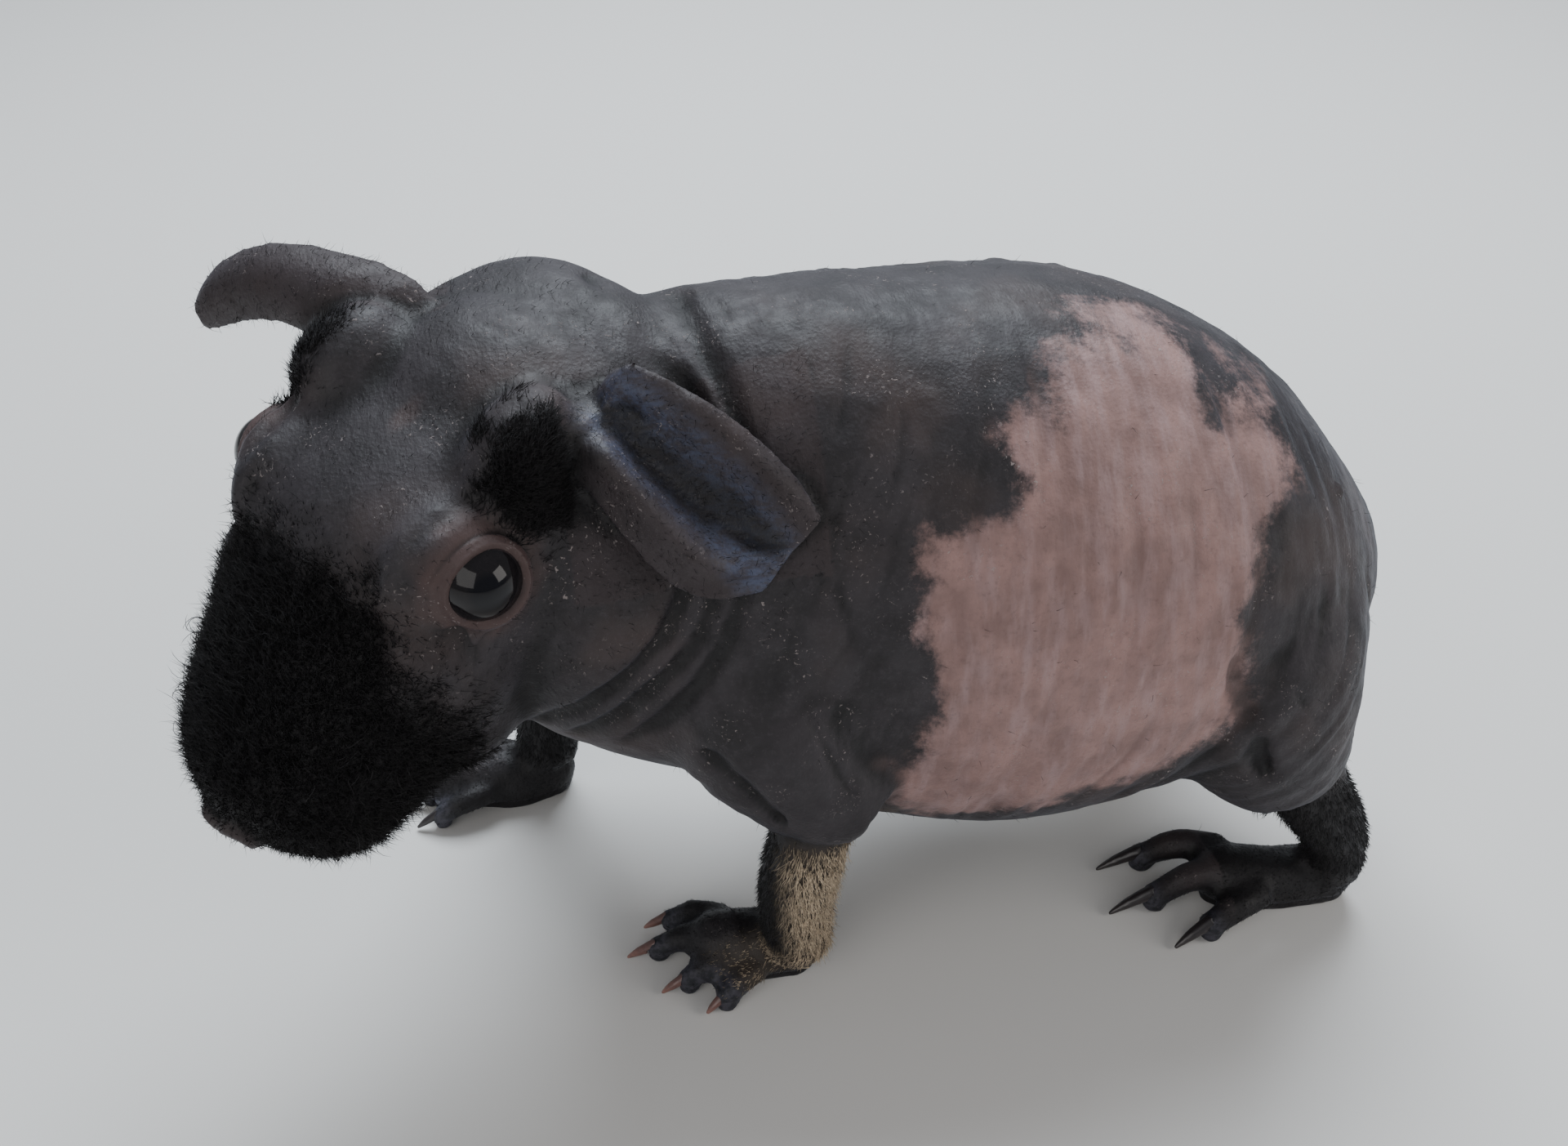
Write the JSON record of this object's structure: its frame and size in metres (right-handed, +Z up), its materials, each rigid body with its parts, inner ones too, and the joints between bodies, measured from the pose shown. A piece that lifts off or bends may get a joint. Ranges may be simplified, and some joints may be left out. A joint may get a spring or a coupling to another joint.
{
  "type": "skinny pig",
  "caption": "Life-size still model of a young hairless guinea pig standing on all fours, head turned and lowered, petal ears spread.",
  "frame": {"origin": "on the floor, under the middle of the box round the body", "axes": "+Z up, the animal faces -X, its left side is towards -Y"},
  "size_m": [0.1527, 0.067, 0.095],
  "materials": {
    "skin": "bare, dry, finely wrinkled dark skin with a soft bluish sheen and a pinkish brown flank patch",
    "short_fur": "short black fur over dark skin",
    "eye": "wet, glossy black",
    "claw": "smooth horn, dark to pinkish brown"
  },
  "bodies": {
    "root": {"ear_left": "skin", "ear_right": "skin", "eye_left": "eye", "eye_right": "eye", "front_claw_left_1": "claw", "front_claw_left_2": "claw", "front_claw_left_3": "claw", "front_claw_left_4": "claw", "front_claw_right_1": "claw", "front_claw_right_2": "claw", "front_claw_right_3": "claw", "front_claw_right_4": "claw", "front_foot_left": "short_fur", "front_foot_right": "short_fur", "front_leg_left_lower": "short_fur", "front_leg_left_upper": "skin", "front_leg_right_lower": "short_fur", "front_leg_right_upper": "skin", "head": "skin", "hind_claw_left_1": "claw", "hind_claw_left_2": "claw", "hind_claw_left_3": "claw", "hind_claw_right_1": "claw", "hind_claw_right_2": "claw", "hind_claw_right_3": "claw", "hind_foot_left": "short_fur", "hind_foot_right": "short_fur", "hind_leg_left_lower": "short_fur", "hind_leg_left_upper": "skin", "hind_leg_right_lower": "short_fur", "hind_leg_right_upper": "skin", "neck": "skin", "torso": "skin"}
  },
  "joints": []
}
